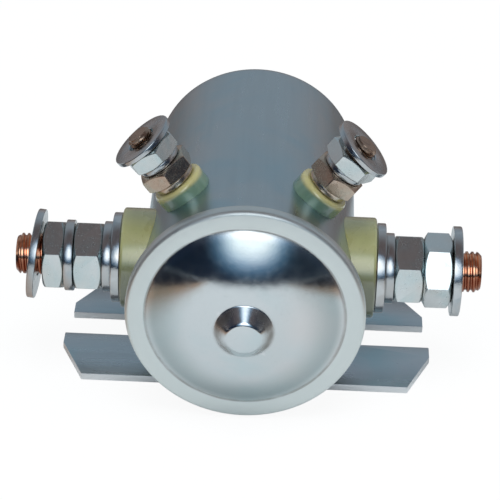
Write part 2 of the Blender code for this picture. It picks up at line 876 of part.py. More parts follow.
def make_magnet(frame, coil_holders):
    """Plunger, core, tube, coil and return spring, in the can's closed half."""
    plunger_back = plunger_front + plunger_length
    core_face = plunger_back + contact_gap + overtravel + clearance
    tube_end = core_face + tube_overlap
    make_plunger(frame)
    make_fixed_core(frame, core_face, tube_end + clearance)
    make_guide_tube(frame, tube_end)
    low = plunger_back - plunger_bore_depth + clearance + return_spring_wire
    high = core_face + core_bore_depth - clearance - return_spring_wire
    coil = helix(return_spring_radius, low, high, return_spring_turns)
    wire("return_spring", coil, return_spring_wire, "spring_steel", frame)
    lead_line = can_inner - 2 * clearance - coil_inner_height - coil_head_height / 2 + lead_side_step
    make_coil(frame, coil_holders, lead_line)
    make_leads(coil_holders, lead_line)


def main():
    clear_scene()
    frame = add_empty("contactor_frame", location=(0, -middle_place, axis_height))
    left_load = add_empty("left_load_axis", frame, (0, load_place, 0), (0, -load_angle, 0))
    right_load = add_empty("right_load_axis", frame, (0, load_place, 0), (0, load_angle, 0))
    left_coil = add_empty("left_coil_axis", frame, (0, coil_place, 0), (0, -coil_angle, 0))
    right_coil = add_empty("right_coil_axis", frame, (0, coil_place, 0), (0, coil_angle, 0))
    load_hole = load_stud_radius + load_neck_wall + 2 * clearance
    coil_hole = coil_stud_radius + coil_neck_wall + 2 * clearance
    holes = {
        "left_load": (left_load, load_hole),
        "right_load": (right_load, load_hole),
        "left_coil": (left_coil, coil_hole),
        "right_coil": (right_coil, coil_hole),
    }
    make_can(frame, holes)
    make_end_cap(frame)
    make_cap_gasket(frame)
    make_bracket(frame)
    make_load_terminal("left", left_load, left_load_stack)
    make_load_terminal("right", right_load, right_load_stack)
    make_coil_terminal("left", left_coil, left_coil_stack)
    make_coil_terminal("right", right_coil, right_coil_stack)
    make_contact_bridge(frame)
    make_magnet(frame, {"left": left_coil, "right": right_coil})


main()
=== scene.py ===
import json
import math

import bmesh
import bpy
from mathutils import Euler, Matrix, Vector

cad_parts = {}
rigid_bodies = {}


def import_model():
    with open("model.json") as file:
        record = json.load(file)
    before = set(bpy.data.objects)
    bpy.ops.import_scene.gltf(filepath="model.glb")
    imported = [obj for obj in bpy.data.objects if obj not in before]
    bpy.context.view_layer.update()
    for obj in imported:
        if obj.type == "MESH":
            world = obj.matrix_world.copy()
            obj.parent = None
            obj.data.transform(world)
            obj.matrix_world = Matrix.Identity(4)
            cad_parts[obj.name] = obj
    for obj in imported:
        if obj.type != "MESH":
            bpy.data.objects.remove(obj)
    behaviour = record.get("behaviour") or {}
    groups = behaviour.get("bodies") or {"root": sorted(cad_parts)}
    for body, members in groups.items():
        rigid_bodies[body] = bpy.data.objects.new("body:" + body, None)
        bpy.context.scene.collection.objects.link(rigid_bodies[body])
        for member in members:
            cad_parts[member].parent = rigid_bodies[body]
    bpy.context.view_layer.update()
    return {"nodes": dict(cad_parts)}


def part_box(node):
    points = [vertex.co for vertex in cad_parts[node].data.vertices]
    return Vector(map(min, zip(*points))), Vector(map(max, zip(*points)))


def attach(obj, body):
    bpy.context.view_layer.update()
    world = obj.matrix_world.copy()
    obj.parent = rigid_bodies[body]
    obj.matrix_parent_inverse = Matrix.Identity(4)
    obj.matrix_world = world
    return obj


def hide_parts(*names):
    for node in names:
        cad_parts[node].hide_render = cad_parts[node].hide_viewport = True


bpy.ops.object.select_all(action="SELECT")
bpy.ops.object.delete()
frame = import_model()
bpy.ops.object.select_all(action="DESELECT")
print("frame loaded")

mm = 0.001
tau = 2 * math.pi
canLow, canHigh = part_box("can")
axisZ = (canLow.z + canHigh.z) / 2  # the can's axis, which lies along Y
canRadius = 20.5 * mm
canLength = 65.5 * mm  # from the cap's rim to the closed end
rimY = canHigh.y - canLength

# Camera and studio

cameraLook = {
    "target": (0.0, 0.020, 0.0),  # from the middle of the cap's rim
    "distance": 0.450,
    "elevation": 31.0,
    "turn": 1.1,
    "roll": 1.85,
    "lens": 166.7,
    "shift": (0.0026, 0.0250),
    "nearest": 0.01,
}


def addCamera():
    up = math.radians(cameraLook["elevation"])
    turn = math.radians(cameraLook["turn"])
    back = Vector((math.sin(turn) * math.cos(up), -math.cos(turn) * math.cos(up), math.sin(up)))
    aim = Vector(cameraLook["target"]) + Vector((0, rimY, axisZ))
    bpy.ops.object.camera_add(location=aim + back * cameraLook["distance"])
    camera = bpy.context.object
    camera.name = "photoCamera"
    camera.rotation_mode = "QUATERNION"
    level = (-back).to_track_quat("-Z", "Y")
    roll = Euler((0, 0, math.radians(cameraLook["roll"]))).to_quaternion()
    camera.rotation_quaternion = level @ roll
    camera.data.lens = cameraLook["lens"]
    camera.data.shift_x, camera.data.shift_y = cameraLook["shift"]
    camera.data.clip_start = cameraLook["nearest"]
    bpy.context.scene.camera = camera


def newTree(name):
    made = bpy.data.materials.new(name)
    made.use_nodes = True
    made.node_tree.nodes.clear()
    return made, made.node_tree


def addNode(tree, kind, inputs=None, **settings):
    made = tree.nodes.new("ShaderNode" + kind)
    for key, value in settings.items():
        setattr(made, key, value)
    for key, value in (inputs or {}).items():
        if isinstance(value, bpy.types.NodeSocket):
            tree.links.new(value, made.inputs[key])
        else:
            made.inputs[key].default_value = value
    return made


def doMath(tree, operation, first, second=0.0, third=0.0):
    return addNode(tree, "Math", {0: first, 1: second, 2: third}, operation=operation).outputs[0]


def remap(tree, value, fromLow, fromHigh, toLow, toHigh, soft=True):
    inputs = {"Value": value, "From Min": fromLow, "From Max": fromHigh, "To Min": toLow, "To Max": toHigh}
    kind = "SMOOTHSTEP" if soft else "LINEAR"
    return addNode(tree, "MapRange", inputs, interpolation_type=kind).outputs[0]


def blendColors(tree, share, first, second):
    made = addNode(tree, "Mix", data_type="RGBA")
    for socket, value in ((made.inputs[0], share), (made.inputs[6], first), (made.inputs[7], second)):
        if isinstance(value, bpy.types.NodeSocket):
            tree.links.new(value, socket)
        elif isinstance(value, tuple):
            socket.default_value = (*value, 1.0)
        else:
            socket.default_value = value
    return made.outputs[2]


def fade(tree, value, span, first, second, most=1.0):
    # From the first colour to the second as the value crosses the span
    return blendColors(tree, remap(tree, value, *span, 0, most), first, second)


def closeTree(made, tree, shader, kind="Material"):
    out = addNode(tree, "Output" + kind)
    tree.links.new(shader.outputs[0], out.inputs["Surface"])
    return made


def hideFromLight(thing):
    # Only reflections show it
    for seen in ("visible_camera", "visible_diffuse", "visible_shadow"):
        setattr(thing, seen, False)


studio = {
    "roomRadius": 2.6,
    "roomStart": 0.5,  # degrees above the floor, below which the white background shows
    "windowRise": 37.0,
    "windowAside": 2.0,
    "windowHalfWidth": 29.5,
    "windowHalfHeight": 31.0,
    "windowCorner": 2.4,  # 2 would be an ellipse, and more is squarer
    "windowEdge": (0.50, 1.20),
    "windowTints": ((0.93, 0.98, 1.0), (0.17, 0.36, 0.58)),  # in its middle and at its edge
    "windowLight": 2.0,
}
roomTones = {
    "navy": (0.010, 0.018, 0.036),  # low in front
    "rightNavy": (0.026, 0.038, 0.058),
    "dusk": (0.24, 0.20, 0.185),  # low at the sides
    "rightDusk": (0.34, 0.30, 0.285),
    "haze": (0.29, 0.27, 0.275),  # low behind
    "wall": (0.290, 0.345, 0.395),
    "slate": (0.130, 0.110, 0.112),  # overhead
}


def paintRoom(room):
    # What bright metal mirrors: a dim room with one large soft window behind the camera
    made, tree = newTree("roomWalls")
    place = addNode(tree, "TexCoord").outputs["Object"]
    flat = addNode(tree, "VectorMath", {0: place}, operation="NORMALIZE").outputs[0]
    parts = addNode(tree, "SeparateXYZ", {0: flat}).outputs
    perRadian = math.degrees(1)
    rise = doMath(tree, "MULTIPLY", doMath(tree, "ARCSINE", parts[2]), perRadian)
    forward = doMath(tree, "MULTIPLY", parts[1], -1.0)
    aside = doMath(tree, "MULTIPLY", doMath(tree, "ARCTAN2", parts[0], forward), perRadian)
    dim = fade(tree, aside, (5, 45), roomTones["navy"], roomTones["rightNavy"])
    side = fade(tree, aside, (-10, 10), roomTones["dusk"], roomTones["rightDusk"])
    low = fade(tree, doMath(tree, "ABSOLUTE", aside), (56, 92), dim, side)
    front = fade(tree, rise, (12, 62), low, roomTones["slate"])
    behind = fade(tree, rise, (4, 24), roomTones["haze"], roomTones["wall"])
    behind = fade(tree, rise, (42, 85), behind, roomTones["slate"])
    walls = fade(tree, parts[1], (-0.45, 0.45), front, behind)
    away = windowDistance(tree, aside, rise)
    tint = fade(tree, away, (0.25, 0.95), *studio["windowTints"])
    lit = blendColors(tree, remap(tree, away, *studio["windowEdge"], 1, 0), walls, tint)
    power = remap(tree, away, 0.20, 1.00, studio["windowLight"], 1.0)
    glow = addNode(tree, "Emission", {"Color": lit, "Strength": power})
    closeTree(made, tree, glow)
    made.cycles.emission_sampling = "NONE"
    room.data.materials.append(made)


def windowDistance(tree, aside, rise):
    # 0 in the window's middle and 1 on its outline
    across = doMath(tree, "SUBTRACT", aside, studio["windowAside"])
    across = doMath(tree, "DIVIDE", across, studio["windowHalfWidth"])
    along = doMath(tree, "SUBTRACT", rise, studio["windowRise"])
    along = doMath(tree, "DIVIDE", along, studio["windowHalfHeight"])
    shares = [doMath(tree, "ABSOLUTE", share) for share in (across, along)]
    corners = [doMath(tree, "POWER", share, studio["windowCorner"]) for share in shares]
    return doMath(tree, "SQRT", doMath(tree, "ADD", *corners))


def addRoom():
    bpy.ops.mesh.primitive_uv_sphere_add(segments=64, ring_count=32, radius=studio["roomRadius"])
    room = bpy.context.object
    room.name = "studioRoom"
    low = studio["roomRadius"] * math.sin(math.radians(studio["roomStart"]))
    bpy.ops.object.mode_set(mode="EDIT")
    bpy.ops.mesh.select_all(action="SELECT")
    bpy.ops.mesh.bisect(plane_co=(0, 0, low), plane_no=(0, 0, 1), clear_inner=True)
    bpy.ops.object.mode_set(mode="OBJECT")
    bpy.ops.object.shade_smooth()
    hideFromLight(room)
    paintRoom(room)


floorLook = {
    "size": 12,
    "drop": 0.05 * mm,  # keeps its face off the object's
    "grain": 14.0,
    "tones": ((0.55, 0.58, 0.59), (0.57, 0.60, 0.61)),
    "white": 1.065,
    "whiteShare": 0.86,  # of what the camera sees, and the rest shows the shadow
}


def addFloor():
    bpy.ops.mesh.primitive_plane_add(size=floorLook["size"], location=(0, 0, -floorLook["drop"]))
    floor = bpy.context.object
    floor.name = "studioFloor"
    made, tree = newTree("paleFloor")
    place = addNode(tree, "TexCoord").outputs["Object"]
    grain = addNode(tree, "TexNoise", {"Vector": place, "Scale": floorLook["grain"]})
    paper = addNode(tree, "BsdfDiffuse", {"Color": blendColors(tree, grain.outputs[0], *floorLook["tones"])})
    white = addNode(tree, "Emission", {"Color": (1, 1, 1, 1), "Strength": floorLook["white"]})
    seen = addNode(tree, "LightPath").outputs["Is Camera Ray"]
    share = doMath(tree, "MULTIPLY", seen, floorLook["whiteShare"])
    both = addNode(tree, "MixShader", {0: share, 1: paper.outputs[0], 2: white.outputs[0]})
    floor.data.materials.append(closeTree(made, tree, both))


cards = {
    "leftPaper": 0.078,  # how far the paper reaches beside the object
    "rightPaper": 0.112,
    "widening": 0.40,  # of the paper, towards the camera
    "rear": 0.065,  # where the paper ends behind the object
    "reach": 1.8,
    "inside": 0.02,
    "lift": 0.2 * mm,
    "shown": (-0.060, -0.020),  # across the paper's edge
    "darkens": (-0.020, 0.016),
    "warm": (0.40, 0.29, 0.22),
    "dark": (0.020, 0.024, 0.036),
    "rearTones": ((0.20, 0.175, 0.17), (0.16, 0.14, 0.136)),
    "rearGrain": 6.0,
}


def paintSideCard(name, paper):
    made, tree = newTree(name)
    parts = addNode(tree, "SeparateXYZ", {0: addNode(tree, "TexCoord").outputs["Object"]}).outputs
    past = doMath(tree, "MULTIPLY_ADD", parts[1], cards["widening"], doMath(tree, "ABSOLUTE", parts[0]))
    past = doMath(tree, "SUBTRACT", past, paper)
    tone = fade(tree, past, cards["darkens"], cards["warm"], cards["dark"])
    dark = addNode(tree, "Emission", {"Color": tone, "Strength": 1.0})
    clear = addNode(tree, "BsdfTransparent")
    shown = remap(tree, past, *cards["shown"], 0, 1)
    both = addNode(tree, "MixShader", {0: shown, 1: clear.outputs[0], 2: dark.outputs[0]})
    return closeTree(made, tree, both)


def paintRearCard():
    made, tree = newTree("rearCardTone")
    place = addNode(tree, "TexCoord").outputs["Object"]
    grain = addNode(tree, "TexNoise", {"Vector": place, "Scale": cards["rearGrain"]})
    tone = blendColors(tree, grain.outputs[0], *cards["rearTones"])
    return closeTree(made, tree, addNode(tree, "Emission", {"Color": tone, "Strength": 1.0}))


def addCard(name, low, high, finish):
    middle = Vector(((low[0] + high[0]) / 2, (low[1] + high[1]) / 2, cards["lift"]))
    bpy.ops.object.select_all(action="DESELECT")
    bpy.ops.mesh.primitive_plane_add(size=1, location=middle)
    card = bpy.context.object
    card.name = name
    card.scale = (high[0] - low[0], high[1] - low[1], 1)
    bpy.ops.object.transform_apply(location=True, rotation=False, scale=True)
    hideFromLight(card)
    finish.cycles.emission_sampling = "NONE"
    card.data.materials.append(finish)


def addCards():
    # The paper that the object stands on ends beside and behind it, which only reflections show
    reach, inside, rear = cards["reach"], cards["inside"], cards["rear"]
    leftTone = paintSideCard("leftCardTone", cards["leftPaper"])
    rightTone = paintSideCard("rightCardTone", cards["rightPaper"])
    addCard("leftCard", (-reach, -reach), (-inside, 0.0), leftTone)
    addCard("rightCard", (inside, -reach), (reach, 0.0), rightTone)
    addCard("rearCard", (-reach, rear), (reach, reach), paintRearCard())


lamps = {
    "keyLamp": {"place": (-0.45, -0.70, 1.10), "size": 0.8, "power": 4.4, "tint": (0.97, 0.99, 1.0)},
    "fillLamp": {"place": (0.95, -0.35, 0.85), "size": 0.8, "power": 2.6, "tint": (0.93, 0.97, 1.0)},
    "topLamp": {"place": (0.05, -0.25, 1.20), "size": 0.6, "power": 6.0, "tint": (1.0, 1.0, 1.0)},
}


def addLamps():
    for name, look in lamps.items():
        bpy.ops.object.light_add(type="AREA", location=look["place"])
        lamp = bpy.context.object
        lamp.name = name
        aim = Vector((0, 0, axisZ)) - lamp.location
        lamp.rotation_euler = aim.to_track_quat("-Z", "Y").to_euler()
        lamp.data.size = look["size"]
        lamp.data.energy = look["power"]
        lamp.data.color = look["tint"]
        lamp.visible_glossy = False


air = {"tint": (0.90, 0.95, 1.0, 1), "strength": 0.60}


def lightWorld():
    # White where it is seen or mirrored, and a soft pale light otherwise
    world = bpy.data.worlds.new("studioAir")
    bpy.context.scene.world = world
    world.use_nodes = True
    tree = world.node_tree
    tree.nodes.clear()
    path = addNode(tree, "LightPath").outputs
    seen = doMath(tree, "MAXIMUM", path["Is Camera Ray"], path["Is Glossy Ray"])
    seen = doMath(tree, "MAXIMUM", seen, path["Is Transmission Ray"])
    soft = addNode(tree, "Background", {"Color": air["tint"], "Strength": air["strength"]})
    white = addNode(tree, "Background", {"Color": (1, 1, 1, 1), "Strength": 1.0})
    both = addNode(tree, "MixShader", {0: seen, 1: soft.outputs[0], 2: white.outputs[0]})
    closeTree(world, tree, both, "World")


addCamera()
addRoom()
addFloor()
addCards()
addLamps()
lightWorld()
bpy.context.scene.view_settings.view_transform = "Standard"
print("camera and studio ready")

# Finishes


def closeFinish(made, tree, color, rough, bump, more):
    inputs = {"Base Color": color, "Roughness": rough, "Normal": bump, **more}
    return closeTree(made, tree, addNode(tree, "BsdfPrincipled", inputs))


def bumpOn(tree, height, strength, distance):
    inputs = {"Height": height, "Strength": strength, "Distance": distance * mm}
    return addNode(tree, "Bump", inputs).outputs[0]


def grainOn(tree, place, scale, stretch=(1, 1, 1), detail=4.0, rough=0.55, warp=0.0):
    stretched = addNode(tree, "Mapping", {"Vector": place, "Scale": stretch}).outputs[0]
    inputs = {"Vector": stretched, "Scale": scale, "Detail": detail, "Roughness": rough, "Distortion": warp}
    return addNode(tree, "TexNoise", inputs).outputs[0]


dustTone = (0.30, 0.31, 0.33)
platings = {
    "capPlating": {
        "color": (0.80, 0.83, 0.84), "cool": (0.70, 0.80, 0.82), "warm": (0.84, 0.80, 0.79),
        "worn": (0.90, 0.91, 0.92), "cloud": 70.0, "rough": (0.09, 0.17), "streak": (1, 1, 1),
        "grain": 700.0, "bump": 0.035,
        "rings": {
            "rim": (18.7, 19.4), "rimTone": (0.86, 0.90, 0.88), "rimRough": 0.30,
            # painted shade: the dome darkens between 10 and 19 mm from the axis
            "dull": (10.0, 17.0, 19.0, 0.55), "domeEdgeShadeTone": (0.30, 0.38, 0.38),
            # Round the nub the dark tone is partly dirt and partly painted shade, at the nub's base and on
            # its flanks
            "nubDirtAndShade": (3.2, 5.0, 6.1, 0.70), "rimCreaseShade": (18.2, 18.95, 19.2, 0.50),
            "dirtAndShadeTone": (0.17, 0.13, 0.095), "dirtRough": 0.35,
            "flanks": (0.9 * mm, 3.4 * mm, 0.10, 1.0),
            "patchScale": 260.0, "patches": (0.30, 0.60, 0.45, 1.0),
        },
    },
    "canPlating": {
        "color": (0.58, 0.65, 0.68), "cool": (0.50, 0.64, 0.70), "warm": (0.63, 0.62, 0.64),
        "worn": (0.74, 0.76, 0.78), "cloud": 55.0, "rough": (0.26, 0.38), "streak": (1, 0.05, 1),
        "grain": 900.0, "bump": 0.06,
    },
    "bracketPlating": {
        "color": (0.48, 0.57, 0.62), "cool": (0.37, 0.56, 0.62), "warm": (0.54, 0.54, 0.60),
        "worn": (0.80, 0.82, 0.84), "cloud": 60.0, "rough": (0.24, 0.38), "streak": (0.08, 1, 1),
        # cut: the sheared edges' colour, pure white as a painted highlight on the bare steel
        "grain": 800.0, "bump": 0.07, "cut": (1.0, 1.0, 1.0), "cutRough": 0.16,
    },
    "nutPlating": {
        "color": (0.76, 0.80, 0.79), "cool": (0.68, 0.79, 0.80), "warm": (0.80, 0.75, 0.71),
        "worn": (0.90, 0.91, 0.91), "cloud": 180.0, "rough": (0.16, 0.28), "streak": (1, 1, 1),
        "grain": 1500.0, "bump": 0.08,
    },
    "washerPlating": {
        "color": (0.60, 0.60, 0.60), "cool": (0.50, 0.55, 0.58), "warm": (0.60, 0.56, 0.53),
        "worn": (0.76, 0.77, 0.78), "cloud": 220.0, "rough": (0.12, 0.24), "streak": (1, 1, 1),
        "grain": 1400.0, "bump": 0.08,
    },
    "agedPlating": {
        "color": (0.62, 0.50, 0.40), "cool": (0.58, 0.55, 0.46), "warm": (0.60, 0.42, 0.32),
        "worn": (0.86, 0.74, 0.64), "cloud": 300.0, "rough": (0.16, 0.30), "streak": (1, 1, 1),
        "grain": 1500.0, "bump": 0.10,
    },
}


def axisDistance(tree, place):
    # In millimetres from the can's axis
    parts = addNode(tree, "SeparateXYZ", {0: place}).outputs
    rise = doMath(tree, "SUBTRACT", parts[2], axisZ)
    squares = [doMath(tree, "MULTIPLY", parts[0], parts[0]), doMath(tree, "MULTIPLY", rise, rise)]
    return doMath(tree, "DIVIDE", doMath(tree, "SQRT", doMath(tree, "ADD", *squares)), mm)


def band(tree, value, low, middle, high, most):
    # Rises to most between low and middle, and is gone again at high
    rising = remap(tree, value, low, middle, 0, most)
    return doMath(tree, "MULTIPLY", rising, remap(tree, value, middle, high, 1, 0))


def ringTones(tree, place, color, rough, rings):
    # The rim is satin and the dome bright, with painted shade darkening it towards its edge. Round the nub
    # the dark tone is partly dirt and partly painted shade, and painted shade lies in the crease where the
    # dome meets the rim
    around = axisDistance(tree, place)
    rim = remap(tree, around, *rings["rim"], 0, 1)
    color = blendColors(tree, rim, color, rings["rimTone"])
    rough = doMath(tree, "MULTIPLY_ADD", rim, rings["rimRough"], rough)
    # Painted shade: the dome's colour darkens towards its edge, standing in for the darker surroundings it
    # mirrors there
    color = blendColors(tree, band(tree, around, *rings["dull"]), color, rings["domeEdgeShadeTone"])
    aside = doMath(tree, "ABSOLUTE", addNode(tree, "SeparateXYZ", {0: place}).outputs[0])
    flanks = remap(tree, aside, *rings["flanks"])  # the dirt and painted shade are thin above and below the nub, and full on its flanks
    patchy = remap(tree, grainOn(tree, place, rings["patchScale"]), *rings["patches"])
    # Painted shade makes a patchy dark line in the crease where the dome meets the rim, and round the nub the
    # dark tone is partly dirt and partly painted shade
    for darkening, where in (("nubDirtAndShade", doMath(tree, "MULTIPLY", patchy, flanks)), ("rimCreaseShade", patchy)):
        near = doMath(tree, "MULTIPLY", band(tree, around, *rings[darkening]), where)
        color = blendColors(tree, near, color, rings["dirtAndShadeTone"])
        rough = doMath(tree, "MULTIPLY_ADD", near, rings["dirtRough"], rough)
    return color, rough


def platingFinish(name):
    look = platings[name]
    made, tree = newTree(name)
    place = addNode(tree, "TexCoord").outputs["Object"]
    cloud = grainOn(tree, place, look["cloud"], detail=3.0, warp=0.6)
    drift = grainOn(tree, place, look["cloud"] * 0.55, detail=2.0)
    fine = grainOn(tree, place, look["grain"], look["streak"], detail=5.0)
    speck = grainOn(tree, place, look["grain"] * 4, detail=2.0)
    color = fade(tree, cloud, (0.40, 0.68), look["color"], look["cool"])
    color = fade(tree, drift, (0.50, 0.72), color, look["warm"], 0.8)
    color = fade(tree, speck, (0.62, 0.80), color, dustTone, 0.25)
    edge = addNode(tree, "NewGeometry").outputs["Pointiness"]
    color = fade(tree, edge, (0.52, 0.60), color, look["worn"], 0.7)
    rough = remap(tree, doMath(tree, "MULTIPLY_ADD", cloud, 0.5, fine), 0.45, 1.0, *look["rough"])
    if "cut" in look:
        # Painted highlight on bare cut steel: the upright cut edges, picked by their normals, are made pure
        # white metal so they read light
        facing = addNode(tree, "SeparateXYZ", {0: addNode(tree, "TexCoord").outputs["Normal"]}).outputs
        cutEdgeSheen = remap(tree, doMath(tree, "ABSOLUTE", facing[2]), 0.25, 0.60, 1, 0)  # the upright faces
        color = blendColors(tree, cutEdgeSheen, color, look["cut"])
        rough = doMath(tree, "MULTIPLY_ADD", cutEdgeSheen, look["cutRough"], rough)
    if "rings" in look:
        color, rough = ringTones(tree, place, color, rough, look["rings"])
    bump = bumpOn(tree, doMath(tree, "MULTIPLY_ADD", speck, 0.3, fine), look["bump"], 0.2)
    return closeFinish(made, tree, color, rough, bump, {"Metallic": 1.0})


def paintedUnderShade(tree, place, low, high, most):
    # Painted shade that darkens the load terminals below: full under low, none over high, in mm above the
    # axis
    rise = doMath(tree, "SUBTRACT", addNode(tree, "SeparateXYZ", {0: place}).outputs[2], axisZ)
    return remap(tree, doMath(tree, "DIVIDE", rise, mm), low, high, most, 0)


coppers = {
    "loadCopper": {
        "clean": (1.0, 0.52, 0.32), "tarnish": (0.34, 0.12, 0.07), "rough": (0.11, 0.24), "cloud": 260.0,
    },
    "coilBrass": {
        "clean": (0.46, 0.33, 0.25), "tarnish": (0.28, 0.20, 0.16), "rough": (0.26, 0.42), "cloud": 420.0,
    },
}


def copperFinish(name):
    look = coppers[name]
    made, tree = newTree(name)
    place = addNode(tree, "TexCoord").outputs["Object"]
    cloud = grainOn(tree, place, look["cloud"], detail=5.0, warp=0.8)
    fine = grainOn(tree, place, 2600.0, detail=3.0)
    color = fade(tree, cloud, (0.44, 0.70), look["clean"], look["tarnish"], 0.85)
    # Painted shade: the studs are blended to the tarnish tone below their axis
    color = blendColors(tree, paintedUnderShade(tree, place, 0.0, 2.2, 0.90), color, look["tarnish"])
    rough = remap(tree, doMath(tree, "MULTIPLY_ADD", fine, 0.4, cloud), 0.5, 1.1, *look["rough"])
    return closeFinish(made, tree, color, rough, bumpOn(tree, fine, 0.10, 0.1), {"Metallic": 1.0})


bushLooks = {
    "oliveMoulding": {
        "olive": (0.340, 0.340, 0.150), "lime": (0.410, 0.420, 0.200), "shade": (0.110, 0.125, 0.070),
        "top": (0.330, 0.335, 0.150), "topPlace": (20.5, 24.0), "coat": 0.14,
    },
    "seaMoulding": {
        "olive": (0.090, 0.165, 0.125), "lime": (0.130, 0.220, 0.155), "shade": (0.050, 0.095, 0.075),
        "top": (0.400, 0.370, 0.165), "topPlace": (22.3, 23.3), "coat": 0.10,
    },
}


def bushFinish(name):
    look = bushLooks[name]
    made, tree = newTree(name)
    place = addNode(tree, "TexCoord").outputs["Object"]
    cloud = grainOn(tree, place, 130.0, detail=3.0, warp=0.4)
    speck = grainOn(tree, place, 2400.0, detail=2.0)
    color = fade(tree, cloud, (0.40, 0.66), look["olive"], look["lime"])
    color = fade(tree, axisDistance(tree, place), look["topPlace"], color, look["top"])
    # Painted shade: the bush darkens towards the shade tone below its axis
    color = blendColors(tree, paintedUnderShade(tree, place, 1.0, 7.0, 0.85), color, look["shade"])
    color = fade(tree, speck, (0.60, 0.78), color, look["shade"], 0.35)
    rough = remap(tree, cloud, 0.35, 0.70, 0.24, 0.38)
    more = {"IOR": 1.53, "Coat Weight": 1.0, "Coat Roughness": look["coat"], "Coat IOR": 1.85}
    more.update({"Subsurface Weight": 0.15, "Subsurface Radius": (0.9, 1.0, 0.4), "Subsurface Scale": mm})
    return closeFinish(made, tree, color, rough, bumpOn(tree, speck, 0.05, 0.1), more)


innerLooks = {  # two tones, how metallic, how rough, and the scale of the grain
    "softIron": ((0.40, 0.41, 0.43), (0.28, 0.28, 0.30), 1.0, 0.38, 500.0),
    "tubeBrass": ((0.72, 0.56, 0.28), (0.52, 0.36, 0.16), 1.0, 0.30, 400.0),
    "springSteel": ((0.55, 0.56, 0.58), (0.38, 0.38, 0.40), 1.0, 0.28, 900.0),
    "enamelWire": ((0.50, 0.20, 0.08), (0.34, 0.12, 0.05), 0.8, 0.34, 700.0),
    "bobbinNylon": ((0.78, 0.77, 0.70), (0.66, 0.64, 0.56), 0.0, 0.50, 300.0),
    "wrapPaper": ((0.62, 0.54, 0.36), (0.48, 0.40, 0.25), 0.0, 0.85, 1200.0),
    "redFibre": ((0.45, 0.20, 0.12), (0.32, 0.12, 0.07), 0.0, 0.65, 1500.0),
    "sealRubber": ((0.035, 0.035, 0.035), (0.02, 0.02, 0.02), 0.0, 0.75, 900.0),
}


def innerFinish(name):
    first, second, metal, dullness, scale = innerLooks[name]
    made, tree = newTree(name)
    cloud = grainOn(tree, addNode(tree, "TexCoord").outputs["Object"], scale, detail=5.0)
    color = fade(tree, cloud, (0.35, 0.70), first, second)
    rough = remap(tree, cloud, 0.3, 0.8, dullness * 0.8, dullness * 1.15)
    return closeFinish(made, tree, color, rough, bumpOn(tree, cloud, 0.12, 0.1), {"Metallic": metal})


finishes = {name: platingFinish(name) for name in platings}
finishes.update({name: copperFinish(name) for name in coppers})
finishes.update({name: innerFinish(name) for name in innerLooks})
finishes.update({name: bushFinish(name) for name in bushLooks})
print("finishes mixed")

# Modelling steps that the pieces share


def pick(piece):
    bpy.ops.object.select_all(action="DESELECT")
    piece.select_set(True)
    bpy.context.view_layer.objects.active = piece


def roundOff(centre, radius, start, end, steps):
    turns = [math.radians(start + (end - start) * i / steps) for i in range(steps + 1)]
    return [(centre[0] + radius * math.cos(a), centre[1] + radius * math.sin(a)) for a in turns]


def drawLine(name, points, closed):
    # A line drawn by extruding one point after another, left in edit mode
    bpy.ops.object.select_all(action="DESELECT")
    bpy.ops.mesh.primitive_plane_add(size=1 * mm)
    piece = bpy.context.object
    piece.name = piece.data.name = name
    bpy.ops.object.mode_set(mode="EDIT")
    bpy.ops.mesh.select_all(action="SELECT")
    bpy.ops.mesh.merge(type="CENTER")
    bpy.ops.transform.translate(value=points[0])
    for here, there in zip(points, points[1:]):
        step = Vector(there) - Vector(here)
        bpy.ops.mesh.extrude_vertices_move(TRANSFORM_OT_translate={"value": step})
    if closed:
        drawn = bmesh.from_edit_mesh(piece.data)
        drawn.verts.ensure_lookup_table()
        for vert in drawn.verts:
            vert.select = vert.index in (0, len(points) - 1)
        drawn.select_flush_mode()
        bmesh.update_edit_mesh(piece.data)
        bpy.ops.mesh.edge_face_add()
    bpy.ops.mesh.select_all(action="SELECT")
    return piece


def tidyFaces():
    bpy.ops.mesh.select_all(action="SELECT")
    bpy.ops.mesh.remove_doubles(threshold=1e-6)
    bpy.ops.mesh.normals_make_consistent(inside=False)
    bpy.ops.object.mode_set(mode="OBJECT")


def turnRound(name, profile, steps=96):
    # profile holds (radius, height) points, and turns about Z
    closed = profile[0][0] > 0
    piece = drawLine(name, [(r, 0, z) for r, z in profile], closed)
    bpy.ops.mesh.spin(steps=steps, angle=tau, center=(0, 0, 0), axis=(0, 0, 1))
    tidyFaces()
    return piece


def pullUp(name, outline, rise):
    # outline holds 3D points on one plane, filled and pulled along rise
    piece = drawLine(name, outline, True)
    bpy.ops.mesh.edge_face_add()
    bpy.ops.mesh.extrude_region_move(TRANSFORM_OT_translate={"value": rise})
    tidyFaces()
    return piece


def applyModifier(piece, kind, **settings):
    pick(piece)
    added = piece.modifiers.new(kind.lower(), kind)
    for key, value in settings.items():
        setattr(added, key, value)
    bpy.ops.object.modifier_apply(modifier=added.name)


def carve(piece, tool, operation="DIFFERENCE"):
    before = piece.data.polygons[0].center.copy(), len(piece.data.polygons)
    applyModifier(piece, "BOOLEAN", object=tool, operation=operation, solver="MANIFOLD")
    after = len(piece.data.polygons)
    if after < 6 or (piece.data.polygons[0].center - before[0]).length < 1e-9 and after == before[1]:
        raise RuntimeError(f"{tool.name} did not shape {piece.name}")
    bpy.data.objects.remove(tool)


def soften(piece, width, angle=30, segments=2):
    applyModifier(
        piece, "BEVEL", width=width, segments=segments, limit_method="ANGLE", angle_limit=math.radians(angle),
        use_clamp_overlap=True, harden_normals=False,
    )


def smoothOver(piece, angle=35):
    pick(piece)
    bpy.ops.object.shade_smooth_by_angle(angle=math.radians(angle))


